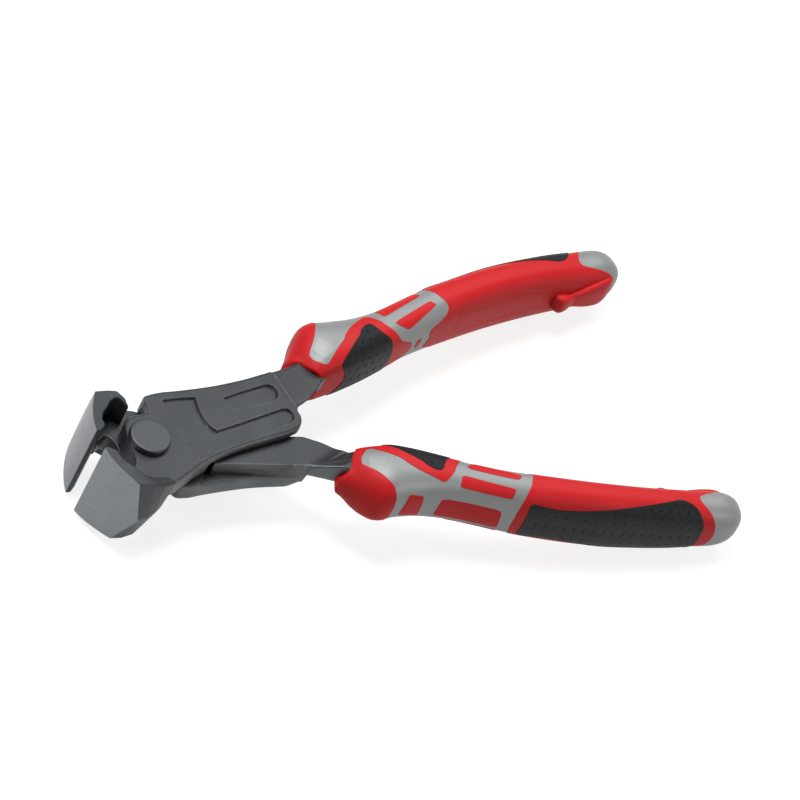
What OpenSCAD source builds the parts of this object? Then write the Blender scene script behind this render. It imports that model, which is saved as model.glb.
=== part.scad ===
// End cutting nippers: two forged steel levers that cross in a lap joint on one
// rivet, each with a wide end-cutting jaw in front and a moulded grip on its tang.
// Millimetres. The origin is on the rivet axis in the lap plane, +Z runs along the
// rivet to its upper head, +X to the handles, +Y to the handle of the right lever.

/* [Joint] */
// Angle between the levers as drawn, 0 is closed
opening = 21.3; // [0:0.1:36]
// Thickness of each lever's cheek from the lap plane
cheek_t = 6.5; // [5.5:0.1:8]
// Gap between the two lap faces
lap_gap = 0.3; // [0.1:0.05:0.5]
// Diameter of the rivet shank
rivet_d = 8; // [6:0.5:9]
// Diameter of the rivet heads
rivet_head_d = 11.8; // [10:0.1:12.5]
// Height of each rivet head
rivet_head_h = 2; // [1.5:0.1:3]
// Radial running clearance of the rivet in the left lever
running_gap = 0.04; // [0.02:0.01:0.08]
// Radius of the round lap face
hub_r = 18.5; // [17.5:0.1:19]

/* [Levers] */
// Length of the cheek from the rivet axis to its heel
cheek_l = 48.7; // [46:0.1:52]
// Reach of the cheek to the side of the rivet axis
cheek_w = 13.6; // [13:0.1:15]
// Height of the cheek's relieved underside over the lap plane
relief_h = 3.4; // [3.3:0.1:3.8]
// Height of the flange's underside over the lap plane
flange_h = 1; // [0.5:0.1:2]
// Depth past the lap plane of the pad on the left cheek, which lies under the right one
pad_h = 3; // [2:0.1:3]
// Reach of the pad to the outer side
pad_w = 5.4; // [4:0.1:6]
// Reach of the pad to the inner side
pad_inner_w = 5; // [3:0.1:6]
// Half the space between the two necks when the jaws are closed
pad_gap = 0.5; // [0.3:0.05:1]
// Outer flange of the left lever is narrower by this much
flange_trim_w = 3.2; // [0:0.1:3.4]
// Depth of the panels forged in the cheeks
panel_t = 0.6; // [0.3:0.1:1]
// Length of the neck from the cheek's heel to the grip
neck_l = 9.9; // [8:0.1:14]
// Height of the neck's outer face over the lap plane
neck_h = 5.8; // [5:0.1:6]
// The neck's flat part reaches inwards past the middle plane by this much
neck_w = 4.2; // [3:0.1:5]
// Width of the tang inside the grip
tang_w = 6.4; // [5:0.1:7]
// Height of the tang inside the grip
tang_h = 7; // [5:0.1:8]
// The tang enters the grip farther out than the grip's middle line by this much
mouth_w = 0.8; // [0.6:0.1:1.2]
// Clearance between tang and grip
tang_gap = 0.1; // [0.05:0.01:0.2]

/* [Jaws] */
// Distance from the rivet axis to the cutting edges
jaw_l = 16.4; // [15:0.1:18]
// Length of the cutting edges
jaw_w = 28.6; // [26:0.1:30]
// The jaws' middle lies below the lap plane by this much
jaw_drop_h = 4.1; // [3:0.1:5]
// Space between the cutting edges at zero opening
edge_gap = 0.04; // [0.02:0.01:0.1]
// Width of the flat land behind each cutting edge
edge_land_w = 1.4; // [1:0.1:2]
// Radius of the convex ground face
face_r = 24; // [22:1:30]
// Width of the ground face at the middle of the jaw
face_ridge_w = 17.5; // [16:0.1:18]
// Width of the ground face at the ends of the jaw
face_corner_w = 13.6; // [12:0.1:15]

/* [Grips] */
// The front of the grips slants by this much to each side
slant_l = 1.2; // [0:0.1:2]
// Length of the grips
grip_l = 125; // [115:1:135]
// Half width of the grip at the guard
guard_hw = 10.1; // [9.5:0.1:11]
// Half height of the grip at its thickest
grip_hh = 10.5; // [10:0.1:11.5]
// The grip's middle line bows out from the middle plane by this much
bow_w = 14; // [13.5:0.1:16]
// Height of the grip's middle line over the lap plane at the guard
rise_h = 3; // [2:0.1:4]
// The grip's middle line sinks by this much over its length
sink_h = 12.6; // [10:0.1:14]
// Thickness of the soft skin over the core
skin_t = 1.6; // [1.2:0.1:2]
// Depth of the core's bare band below the skin
band_t = 0.7; // [0.6:0.1:0.9]
// Height of the finger pad and the badges over the guard
pad_lift_h = 0.6; // [0.5:0.1:0.7]
// Half the space between the two guards when the jaws are closed
grip_gap = 0.9; // [0.8:0.1:1.5]
// Space between the moulded pieces of a grip
seam_gap = 0.25; // [0.2:0.05:0.3]
// Height of the lanyard eye over the grip
eye_h = 2.2; // [2:0.1:3]

/* [Hidden] */
$fn = 64;

half_open = opening / 2;
jaw_hw = jaw_w / 2;
grip_x = cheek_l + neck_l;

// Colours of the object
forged_steel = [0.27, 0.28, 0.29];
ground_steel = [0.55, 0.57, 0.58];
soft_red = [0.72, 0.16, 0.17];
hard_grey = [0.6, 0.62, 0.61];
soft_dark = [0.13, 0.14, 0.15];

// Outline of a cheek in shares of its length and width: outer edge, then heel,
// inner edge, web behind the jaw, boss round the rivet and stop notch
cheek_outer_shares = [[1, 0.61], [0.75, 0.654], [0.55, 0.75], [0.36, 0.89], [0.27, 0.97], [0.183, 1]];
cheek_notch_shares = [[0.164, 0.95], [0.115, 0.69], [0.074, 0.625]];
cheek_boss_shares = [
    [-0.025, 0.654], [-0.066, 0.56], [-0.103, 0.41], [-0.119, 0.28],
    [-0.129, 0.1], [-0.133, -0.09], [-0.144, -0.265]
];
cheek_web_shares = [
    [-0.177, -0.44], [-0.242, -0.22], [-0.265, -0.38], [-0.2, -0.88], [-0.164, -1.2]
];
cheek_inner_shares = [
    [-0.07, -1.2], [0.018, -1.118], [0.123, -0.993], [0.253, -0.875], [0.39, -0.81],
    [0.534, -0.853], [0.74, -0.89]
];
cheek_heel_shares = [[0.903, -0.934], [0.957, -0.853], [0.99, -0.65], [1, -0.38]];

// Panels forged in the cheek, in the same shares
slot_shares = [[0.63, 0.34], [0.89, 0.32], [0.93, 0.04], [0.88, -0.09], [0.65, -0.01], [0.61, 0.15]];
long_panel_shares = [
    [0.24, 0.74], [0.44, 0.57], [0.4, 0.08], [0.42, -0.32], [0.91, -0.33], [0.92, -0.64],
    [0.88, -0.68], [0.52, -0.6], [0.23, -0.77], [0.31, -0.4], [0.33, 0.1], [0.3, 0.45]
];

// Outline of the neck's flat part: along the lever in shares of the neck's length from
// the heel, inwards in shares of its reach
neck_inner_shares = [[-0.15, 1], [0.1, 1], [0.49, 0.8], [0.84, -0.05]];

// Places along the jaw's outer and inner sides, in shares of its reach: at the
// middle of the jaw and at its ends
jaw_back_mid_shares = [[-0.5, -1.075], [-0.34, -1.06], [-0.2, -0.98]];
jaw_back_end_shares = [[-0.62, -0.83], [-0.46, -0.87], [-0.24, -0.93]];
jaw_throat_shares = [
    [-0.83, -0.1], [-0.83, -0.275], [-0.79, -0.39], [-0.69, -0.52], [-0.6, -0.65],
    [-0.46, -0.73], [-0.25, -0.75]
];

// The ground face starts forward of the cutting edge by this share of its width
face_lead_share = 0.09;

// Form of a grip at shares of its length: half width as a share of the guard's,
// half height as a share of the thickest and the bow of its middle line
grip_width_shares = [
    [-0.02, 0.62], [0.02, 0.8], [0.05, 0.92], [0.09, 1], [0.12, 0.93], [0.17, 0.8], [0.25, 0.675],
    [0.33, 0.625], [0.41, 0.62], [0.56, 0.6], [0.72, 0.585], [0.87, 0.605], [0.95, 0.52],
    [0.985, 0.34], [1, 0.05]
];
grip_height_shares = [
    [-0.02, 0.68], [0.02, 0.78], [0.05, 0.85], [0.09, 0.88], [0.17, 0.855], [0.25, 0.85],
    [0.33, 0.88], [0.41, 0.94], [0.56, 1], [0.64, 1], [0.72, 0.96], [0.8, 0.9], [0.87, 0.82],
    [0.95, 0.69], [0.985, 0.46], [1, 0.07]
];
bow_shares = [
    [-0.02, 0.37], [0.02, 0.44], [0.05, 0.53], [0.09, 0.63], [0.17, 0.625], [0.25, 0.7],
    [0.33, 0.81], [0.41, 0.9], [0.49, 0.955], [0.6, 1], [0.72, 0.985], [0.8, 0.945], [0.87, 0.89],
    [1, 0.79]
];

// Borders between the pieces of a grip at turns from 0, outwards, over 90, up, to
// 180, inwards, in shares of the grip's length
guard_rear_shares = [
    [0, 0.09], [40, 0.092], [57, 0.2], [70, 0.225], [110, 0.245], [130, 0.27], [160, 0.315], [180, 0.325]
];
band_rear_shares = [
    [0, 0.4], [60, 0.412], [110, 0.43], [138, 0.427], [160, 0.385], [180, 0.382]
];
cap_front_shares = [
    [0, 0.91], [30, 0.905], [63, 0.885], [95, 0.862], [118, 0.895], [140, 0.942], [180, 0.95]
];
palm_turns = [[0, 40], [0.2, 40], [0.35, 46], [0.78, 84], [0.86, 80], [1, 45]];
finger_front_shares = [[80, 0.19], [100, 0.15], [120, 0.105], [140, 0.08], [180, 0.075]];
finger_rear_shares = [[80, 0.2], [100, 0.212], [133, 0.24], [180, 0.25]];

// Turns at which the grip's surface is worked out, and how square its sections are
around = 32;
turns = [for (i = [0 : around - 1]) 360 * i / around];
grip_power = 2.6;
bar_power = 5;

// Places along the tang in shares of the grip's length, and how far it is shifted out
mouth_shares = [[0.02, 1], [0.1, 0]];
tang_shares = [0.02, 0.1, 0.25, 0.4, 0.55, 0.7, 0.8];

// Place where the core ends and the cap's plug starts
plug_share = 0.85;

function turn_fold(turn) = abs(turn > 180 ? turn - 360 : turn);
function mix(a, b, share) = a + (b - a) * share;
function power_of(v, power) = sign(v) * pow(abs(v), 2 / power);

// Place on a grip at a share of its length and a turn round it, at a depth below
// the skin; the inner side is flat near the middle plane
function grip_at(share, turn, depth) = [
    grip_x + grip_l * share,
    max(
        grip_gap + depth,
        bow_w * lookup(share, bow_shares)
            + (guard_hw * lookup(share, grip_width_shares) - depth) * power_of(cos(turn), grip_power)
    ),
    rise_h - sink_h * share
        + (grip_hh * lookup(share, grip_height_shares) - depth) * power_of(sin(turn), grip_power)
];

// Shares of the grip's length at the borders of its zones: front, guard, band,
// sleeve, end
function grip_border(zone, turn) =
    zone == 0 ? -slant_l * cos(turn) / grip_l :
    zone == 1 ? lookup(turn_fold(turn), guard_rear_shares) :
    zone == 2 ? lookup(turn_fold(turn), band_rear_shares) :
    zone == 3 ? lookup(turn_fold(turn), cap_front_shares) : 1;

function zone_at(zone, turn, share) =
    mix(grip_border(zone, turn), grip_border(zone + 1, turn), share);

// Solid through a list of rings with an even number of points each. Seen from the
// last ring, each ring runs counter-clockwise. The rings are joined end to end if
// looped, else a ladder of faces closes both ends.
module loft(rings, looped = false) {
    n = len(rings[0]);
    last = len(rings) - 1;
    sides = [
        for (k = [0 : looped ? last : last - 1], i = [0 : n - 1])
            let (near = k * n, far = (k + 1) % (last + 1) * n, next = (i + 1) % n)
            each [[near + i, far + next, near + next], [near + i, far + i, far + next]]
    ];
    ends = looped ? [] : [
        for (i = [0 : n / 2 - 2])
            let (a = i, b = i + 1, c = n - 2 - i, d = n - 1 - i, far = last * n)
            each [[a, b, c], [a, c, d], [far + a, far + c, far + b], [far + a, far + d, far + c]]
    ];
    polyhedron(points = [for (ring = rings) each ring], faces = concat(sides, ends));
}

// Piece of skin between two depths, given its rows of [share, turn] places
module skin_patch(rows, outer, inner) {
    loft([
        for (row = rows)
            concat(
                [for (place = row) grip_at(place[0], place[1], outer)],
                [for (i = [len(row) - 1 : -1 : 0]) grip_at(row[i][0], row[i][1], inner)]
            )
    ]);
}

// Piece of skin over a range of shares and of turns
module skin_window(shares, turns, outer, inner) {
    skin_patch([
        for (i = [0 : 6])
            [for (j = [0 : 6]) [mix(shares[0], shares[1], i / 6), mix(turns[0], turns[1], j / 6)]]
    ], outer, inner);
}

// Range of turns on the upper side, or its mirror image on the lower side
function lower_or_upper(turns, flip) = flip ? [-turns[1], -turns[0]] : turns;

// Right grip's place in the assembly, and the left grip's by mirroring
module on_right() {
    rotate([0, 0, half_open]) children();
}

module on_left() {
    rotate([0, 0, -half_open]) mirror([0, 1, 0]) children();
}

function cheek_point(share) = [cheek_l * share[0], cheek_w * share[1]];

function cheek_outline(trim) = concat(
    [for (share = cheek_outer_shares) cheek_point(share) - [0, trim]],
    [for (share = concat(cheek_notch_shares, cheek_boss_shares, cheek_web_shares)) cheek_point(share)],
    [for (share = concat(cheek_inner_shares, cheek_heel_shares)) cheek_point(share)]
);

// Place along the lever of a point of the neck's outline
function neck_x(i) = cheek_l + neck_l * neck_inner_shares[i][0];

module cheek_slab(trim, from, to) {
    translate([0, 0, from]) linear_extrude(to - from) polygon(cheek_outline(trim));
}

// Cheek of one lever over the lap plane, with its hub and the flat part of its neck,
// which reaches inwards past the middle plane
module cheek(trim, reach, neck_low) {
    outer_y = cheek_w * cheek_outer_shares[0][1] - trim;
    neck_start = neck_x(0);
    neck_end = neck_x(3);
    difference() {
        cheek_slab(trim, relief_h, cheek_t);
        translate([0, 0, cheek_t - panel_t]) {
            linear_extrude(cheek_t) polygon([for (share = slot_shares) cheek_point(share)]);
            linear_extrude(cheek_t) polygon([for (share = long_panel_shares) cheek_point(share)]);
        }
    }
    intersection() {
        cheek_slab(trim, lap_gap / 2, relief_h);
        cylinder(r = hub_r, h = cheek_t);
    }
    translate([0, 0, neck_low])
        linear_extrude(neck_h - neck_low)
            polygon(concat(
                [for (i = [0 : 3]) [neck_x(i), -reach * neck_inner_shares[i][1]]],
                [[neck_end, outer_y], [neck_start, outer_y]]
            ));
}

// Flange along the outer edge of the left cheek, and the broad pad on its inner face
module left_pad() {
    pad_x = hub_r + 2 * lap_gap;
    intersection() {
        cheek_slab(flange_trim_w, flange_h, relief_h);
        translate([0, pad_gap, 0]) cube([cheek_l + cheek_w, cheek_w, cheek_t]);
    }
    translate([pad_x, -pad_inner_w, -pad_h])
        cube([cheek_l - pad_x, pad_w + pad_inner_w, pad_h + relief_h]);
}

// Outline of the jaw at a height, from -1 at its lower end over 0 to 1
function jaw_ring(height) =
    let (end = abs(height), z = -jaw_drop_h + jaw_hw * height)
    let (face_w = mix(face_ridge_w, face_corner_w, end))
    concat(
        [
            for (i = [0 : 4])
                let (y = edge_gap / 2 + face_w * i / 4)
                [-jaw_l - face_lead_share * y + y * y / (2 * face_r), -y, z]
        ],
        [
            for (i = [0 : 2])
                let (share = mix(jaw_back_mid_shares[i], jaw_back_end_shares[i], end))
                [jaw_l * share[0], jaw_l * share[1], z]
        ],
        [
            for (i = [len(jaw_throat_shares) - 1 : -1 : 0])
                [jaw_l * jaw_throat_shares[i][0], jaw_l * jaw_throat_shares[i][1], z]
        ],
        [[edge_land_w - jaw_l, -edge_gap, z]]
    );

module jaw() {
    color(ground_steel) loft([for (height = [-1, -0.5, 0, 0.5, 1]) jaw_ring(height)]);
}

// Point at a turn round a bar with rounded corners, given its reach in y and z
function bar_at(x, y, z, turn) = [
    x,
    (y[0] + y[1]) / 2 + (y[1] - y[0]) / 2 * power_of(cos(turn), bar_power),
    (z[0] + z[1]) / 2 + (z[1] - z[0]) / 2 * power_of(sin(turn), bar_power)
];

// Point at a turn round the tang, which follows the grip's middle line
function tang_at(share, turn, extra) =
    let (half_y = tang_w / 2 + extra, half_z = tang_h / 2 + extra)
    let (y = bow_w * lookup(share, bow_shares) + mouth_w * lookup(share, mouth_shares))
    let (z = rise_h - sink_h * share)
    bar_at(grip_x + grip_l * share, [y - half_y, y + half_y], [z - half_z, z + half_z], turn);

// Neck and tang of a lever; low and high are the neck's faces at the cheek, rise how
// far they climb up to the grip and wide the neck's reach outwards
module tang(low, high, rise, wide) {
    root_y = [pad_gap + lap_gap, pad_w - lap_gap];
    neck_y = [pad_gap, wide];
    neck_end = neck_x(3);
    loft(concat(
        [[for (turn = turns) bar_at(cheek_l - cheek_t, root_y, [low + lap_gap, high - lap_gap], turn)]],
        [[for (turn = turns) bar_at(cheek_l + pad_h, neck_y, [low, high], turn)]],
        [[for (turn = turns) bar_at(neck_end, neck_y, [low + rise, high + rise], turn)]],
        [for (share = tang_shares) [for (turn = turns) tang_at(share, turn, 0)]]
    ));
}

module right_lever() {
    color(forged_steel) on_right() difference() {
        union() {
            cheek(0, neck_w, relief_h);
            jaw();
            tang(relief_h, neck_h, 0, pad_w + flange_trim_w);
        }
        translate([0, 0, -cheek_t]) cylinder(d = rivet_d, h = 3 * cheek_t);
    }
}

module left_lever() {
    color(forged_steel) difference() {
        union() {
            rotate([0, 0, -half_open]) rotate([180, 0, 0]) {
                cheek(flange_trim_w, neck_w + flange_trim_w, -pad_h);
                left_pad();
            }
            on_left() {
                jaw();
                tang(-neck_h, -lap_gap, pad_h, pad_w + flange_trim_w / 2);
            }
        }
        translate([0, 0, -2 * cheek_t]) cylinder(r = rivet_d / 2 + running_gap, h = 3 * cheek_t);
    }
}

// Rivet with a flat head at both ends
module pivot_rivet() {
    head_r = rivet_head_d / 2;
    bevel = rivet_head_h / 4;
    color(ground_steel) rotate_extrude() polygon([
        [0, -cheek_t - lap_gap - rivet_head_h], [head_r - bevel, -cheek_t - lap_gap - rivet_head_h],
        [head_r, bevel - cheek_t - lap_gap - rivet_head_h], [head_r, -cheek_t - lap_gap],
        [rivet_d / 2, -cheek_t - lap_gap], [rivet_d / 2, cheek_t],
        [head_r, cheek_t], [head_r, cheek_t + rivet_head_h - bevel],
        [head_r - bevel, cheek_t + rivet_head_h], [0, cheek_t + rivet_head_h]
    ]);
}

// Hard core of a grip, moulded on the tang: under the skin in front and behind,
// bare in the band between
module grip_core() {
    under = skin_t + seam_gap;
    gap_share = seam_gap / grip_l;
    rear = plug_share - gap_share;
    rows = 12;
    loft([
        for (turn = turns)
            let (band_front = grip_border(1, turn) + gap_share)
            let (band_rear = grip_border(2, turn) - gap_share)
            concat(
                [for (share = tang_shares) tang_at(share, turn, tang_gap)],
                [tang_at(rear, turn, tang_gap)],
                [for (k = [0 : 5]) grip_at(mix(rear, grip_border(2, turn), k / 5), turn, under)],
                [for (k = [0 : rows]) grip_at(mix(band_rear, band_front, k / rows), turn, band_t)],
                [for (k = [0 : 4]) grip_at(mix(grip_border(1, turn), tang_shares[0], k / 4), turn, under)]
            )
    ], looped = true);
}

module right_grip_core() {
    color(hard_grey) on_right() grip_core();
}

module left_grip_core() {
    color(hard_grey) on_left() grip_core();
}

// Soft guard moulded round the front of the core
module guard() {
    rows = 8;
    loft([
        for (turn = turns)
            concat(
                [for (k = [0 : rows]) grip_at(zone_at(0, turn, k / rows), turn, skin_t)],
                [for (k = [rows : -1 : 0]) grip_at(zone_at(0, turn, k / rows), turn, 0)]
            )
    ], looped = true);
}

module right_guard() {
    color(soft_red) on_right() guard();
}

module left_guard() {
    color(soft_red) on_left() guard();
}

// Plain badge plates on the upper and lower side of the guard
module badges() {
    badge_shares = [0.01, 0.085];
    badge_turns = [62, 122];
    for (flip = [false, true])
        skin_window(badge_shares, lower_or_upper(badge_turns, flip), -pad_lift_h, -seam_gap);
}

module right_badges() {
    color(hard_grey) on_right() badges();
}

module left_badges() {
    color(hard_grey) on_left() badges();
}

// Dimpled pad on the inner side of the guard
module finger_pad() {
    skin_patch([
        for (i = [0 : 16])
            let (turn = mix(280, 80, i / 16))
            let (front = lookup(turn_fold(turn), finger_front_shares))
            let (rear = lookup(turn_fold(turn), finger_rear_shares))
            [for (k = [0 : 8]) [mix(front, rear, k / 8), turn]]
    ], -pad_lift_h, -seam_gap);
}

module right_finger_pad() {
    color(soft_dark) on_right() finger_pad();
}

module left_finger_pad() {
    color(soft_dark) on_left() finger_pad();
}

// Soft inlays in the windows of the core's bare band
module window_inlays() {
    side_shares = [0.212, 0.375];
    side_turns = [-28, 28];
    guard_shares = [0.115, 0.17];
    guard_turns = [-32, 32];
    outer_shares = [0.25, 0.39];
    outer_turns = [44, 78];
    inner_shares = [0.285, 0.405];
    inner_turns = [92, 126];
    inner_depth = band_t - seam_gap;
    skin_window(side_shares, side_turns, 0, inner_depth);
    skin_window(guard_shares, guard_turns, 0, inner_depth);
    for (flip = [false, true]) {
        skin_window(outer_shares, lower_or_upper(outer_turns, flip), 0, inner_depth);
        skin_window(inner_shares, lower_or_upper(inner_turns, flip), 0, inner_depth);
    }
}

module right_window_inlays() {
    color(soft_red) on_right() window_inlays();
}

module left_window_inlays() {
    color(soft_red) on_left() window_inlays();
}

// Soft sleeve round the inner side of the core, open on the outer side
module sleeve() {
    seam_turn = 3;
    gap_share = 2 * seam_gap / grip_l;
    skin_patch([
        for (k = [0 : 14])
            let (share = k / 14, from = lookup(share, palm_turns) + seam_turn)
            [
                for (i = [0 : 20])
                    let (turn = mix(from, 360 - from, i / 20))
                    [zone_at(2, turn, mix(gap_share, 1 - gap_share, share)), turn]
            ]
    ], 0, skin_t);
}

module right_sleeve() {
    color(soft_red) on_right() sleeve();
}

module left_sleeve() {
    color(soft_red) on_left() sleeve();
}

// Dimpled pad for the palm, in the open side of the sleeve
module palm_pad() {
    skin_patch([
        for (k = [0 : 14])
            let (share = k / 14, reach = lookup(share, palm_turns))
            [
                for (i = [0 : 12])
                    let (turn = mix(-reach, reach, i / 12))
                    [zone_at(2, turn, share), turn]
            ]
    ], 0, skin_t);
}

module right_palm_pad() {
    color(soft_dark) on_right() palm_pad();
}

module left_palm_pad() {
    color(soft_dark) on_left() palm_pad();
}

// Hard cap that closes the end of the grip, with a plug under the skin
module end_cap() {
    under = skin_t + seam_gap;
    gap_share = seam_gap / grip_l;
    cap_shares = [0.25, 0.5, 0.75, 0.9, 1];
    loft(concat(
        [[for (turn = turns) grip_at(plug_share, turn, under)]],
        [[for (turn = turns) grip_at(grip_border(3, turn), turn, under)]],
        [[for (turn = turns) grip_at(grip_border(3, turn) + gap_share, turn, 0)]],
        [for (share = cap_shares) [for (turn = turns) grip_at(zone_at(3, turn, share), turn, 0)]]
    ));
}

module right_end_cap() {
    color(hard_grey) on_right() end_cap();
}

module left_end_cap() {
    color(hard_grey) on_left() end_cap();
}

// Eye for a lanyard on the inner side of the sleeve's end
module lanyard_eye() {
    eye_shares = [0.78, 0.93];
    eye_turn = 20;
    arch = [
        [0, 0.1, 0.4], [0.06, 0.1, 0.9], [0.14, 0.3, 1], [0.24, 0.2, 0.75], [0.5, 0.15, 0.5],
        [0.85, 0.12, 0.45], [0.95, 0.1, 0.4], [1, 0.1, 0.2]
    ];
    loft([
        for (step = arch)
            let (share = mix(eye_shares[0], eye_shares[1], step[0]))
            let (low = -eye_h * step[1], high = -eye_h * step[2])
            concat(
                [for (i = [-2 : 2]) grip_at(share, 180 + eye_turn * i / 2, high)],
                [for (i = [2 : -1 : -2]) grip_at(share, 180 + eye_turn * i / 2, low)]
            )
    ]);
}

module right_lanyard_eye() {
    color(soft_red) on_right() lanyard_eye();
}

module left_lanyard_eye() {
    color(soft_red) on_left() lanyard_eye();
}

right_lever();
left_lever();
pivot_rivet();
right_grip_core();
left_grip_core();
right_guard();
left_guard();
right_badges();
left_badges();
right_finger_pad();
left_finger_pad();
right_window_inlays();
left_window_inlays();
right_sleeve();
left_sleeve();
right_palm_pad();
left_palm_pad();
right_end_cap();
left_end_cap();
right_lanyard_eye();
left_lanyard_eye();
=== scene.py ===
"""End cutting nippers, lying half open on a pale floor.

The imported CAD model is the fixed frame: every piece rides on one of its two bodies
and stands for one of its nodes. Shapes are worked out in millimetres in the closed
position of one half, and each half then turns out to the drawn opening.
"""

import math

import bmesh
import bpy
import numpy as np
from mathutils import Matrix, Vector


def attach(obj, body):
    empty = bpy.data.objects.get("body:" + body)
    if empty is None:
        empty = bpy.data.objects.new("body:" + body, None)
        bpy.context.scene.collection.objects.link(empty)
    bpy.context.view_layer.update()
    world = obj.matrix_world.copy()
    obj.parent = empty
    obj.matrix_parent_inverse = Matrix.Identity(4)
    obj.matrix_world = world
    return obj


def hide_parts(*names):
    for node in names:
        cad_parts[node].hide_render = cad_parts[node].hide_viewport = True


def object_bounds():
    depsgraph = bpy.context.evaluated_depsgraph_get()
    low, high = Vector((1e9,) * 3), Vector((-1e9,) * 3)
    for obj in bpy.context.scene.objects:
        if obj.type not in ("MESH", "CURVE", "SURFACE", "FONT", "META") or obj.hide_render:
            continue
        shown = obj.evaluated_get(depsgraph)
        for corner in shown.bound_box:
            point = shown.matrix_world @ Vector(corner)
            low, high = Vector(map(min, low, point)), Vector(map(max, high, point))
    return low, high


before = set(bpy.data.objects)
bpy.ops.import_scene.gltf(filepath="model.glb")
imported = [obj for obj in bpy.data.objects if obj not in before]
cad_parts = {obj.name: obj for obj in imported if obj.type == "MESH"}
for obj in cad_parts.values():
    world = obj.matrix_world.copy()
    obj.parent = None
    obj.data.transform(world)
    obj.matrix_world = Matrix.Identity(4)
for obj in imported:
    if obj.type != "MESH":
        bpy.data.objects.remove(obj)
cad_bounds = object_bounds()

# Levers: two drop forgings of dark phosphated steel that cross in the lap joint.
# Each has a cheek with forged panels, a neck that enters the grip and a wide jaw in
# front whose outer face is ground bright. The left one has a broad pad under the right.

millimetre = 0.001
half_opening = math.radians(10.65)
sharp_angle = math.radians(38)
weld_reach, sliver_reach = 1e-7, 1e-8
halves = {"right": 1, "left": -1}

cheek_top = 6.5
neck_top = 5.8
lap_gap = 0.3
hub_radius = 18.5
hub_wall = 0.4
relief_height = 3.4
panel_depth = 0.85
panel_wall = 0.3

# Places along the cheek and neck: outer edge and inner edge, x and y of each
right_stations = np.array([
    [-12.0, -3.6, -10.4, -10.0], [-8.6, -5.6, -9.3, -11.5], [-7.0, -3.4, -8.0, -13.0],
    [-6.2, -0.2, -6.0, -14.3], [-4.9, 4.4, -3.4, -15.1], [-2.6, 7.9, -1.3, -15.4],
    [0.6, 9.0, 0.9, -15.2], [3.6, 8.6, 3.4, -14.5], [5.4, 8.9, 5.4, -14.0],
    [6.1, 10.4, 6.6, -13.7], [6.5, 12.2, 7.8, -13.3], [7.3, 13.3, 9.0, -13.0],
    [8.9, 13.6, 11.5, -12.5], [12.8, 13.2, 15.0, -12.0], [17.5, 12.1, 19.0, -11.6],
    [26.8, 10.2, 26.0, -11.5], [36.5, 8.9, 36.0, -11.9], [42.0, 8.5, 42.4, -12.1],
    [45.2, 8.4, 45.8, -11.3], [47.0, 8.3, 47.9, -9.0], [48.0, 8.3, 48.7, -6.4],
    [49.2, 8.3, 49.6, -5.0], [51.5, 8.2, 51.8, -4.4], [54.0, 8.2, 54.2, -3.6],
    [57.0, 8.4, 57.0, -2.2], [60.0, 9.0, 60.0, -0.8], [63.5, 9.6, 63.5, 0.8],
])
right_neck = right_stations[-8:]
left_stations = np.array([
    [-12.0, -3.6, -10.4, -10.0], [-8.6, -5.6, -9.3, -11.5], [-7.0, -3.4, -8.0, -13.0],
    [-6.2, -0.2, -6.0, -14.3], [-4.9, 4.4, -3.4, -15.1], [-2.6, 7.9, -1.3, -15.4],
    [0.6, 8.8, 0.9, -15.2], [3.6, 8.5, 3.4, -14.5], [6.6, 8.6, 5.4, -14.0],
    [8.6, 9.6, 7.6, -13.4], [9.8, 10.7, 9.8, -12.9], [12.4, 10.8, 12.4, -12.4],
    [17.5, 9.7, 17.5, -11.8], [24.7, 8.2, 24.7, -11.5], [33.2, 6.8, 33.2, -11.8],
    [37.5, 6.4, 38.0, -12.0], [42.0, 6.1, 42.4, -11.9], [45.0, 5.9, 45.4, -10.6],
    [46.8, 5.75, 46.9, -7.6], [48.0, 5.8, 48.0, -5.6], [49.4, 6.05, 49.4, -5.0],
    [51.2, 6.5, 51.2, -4.3], [54.0, 7.3, 54.0, -3.2], [57.0, 8.2, 57.0, -1.4],
    [60.0, 9.0, 60.0, 0.4], [63.5, 9.6, 63.5, 1.6],
])

# Outlines of the two forged panels
slot_panel = np.array([
    [29.6, 4.7], [36.7, 4.7], [43.6, 4.5], [45.0, 4.0], [45.8, 3.0], [46.0, 1.8], [45.6, 0.6],
    [44.8, -0.4], [43.6, -1.0], [36.0, -0.4], [31.2, 0.1], [30.1, 0.9], [29.6, 2.2]
])
long_panel = np.array([
    [11.8, 10.2], [16.6, 9.2], [21.4, 7.8], [20.2, 4.3], [19.6, 0.6], [19.8, -2.0], [20.9, -4.4],
    [28.0, -4.5], [36.0, -4.5], [44.0, -4.5], [45.3, -5.0], [45.9, -6.0], [45.8, -7.6], [45.0, -8.7],
    [43.6, -9.2], [35.0, -9.5], [27.3, -9.9], [18.5, -10.3], [11.9, -10.7], [11.1, -9.2], [10.6, -7.1],
    [10.4, -4.2], [10.4, -1.2], [10.5, 1.6], [10.7, 4.6], [11.2, 8.0]
])


def smooth_step(value):
    """0 below 0, 1 above 1, and a soft S between: 3 v squared less 2 v cubed."""
    value = np.clip(value, 0, 1)
    return value * value * (3 - 2 * value)


def mix(first, second, share):
    """The value at a share of the way from the first to the second."""
    return first + (second - first) * share


def bell(value, width, power=2):
    """1 at 0 and next to nothing past twice a width: e to minus a power of value over width."""
    return np.exp(-((value / width) ** power))


def round_off(reach, radius):
    """How far a rounded edge has fallen, from 1 at its rim to 0 one radius inside it, along
    a quarter circle."""
    return 1 - np.sqrt(1 - np.clip(1 - reach / radius, 0, 1) ** 2)


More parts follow.
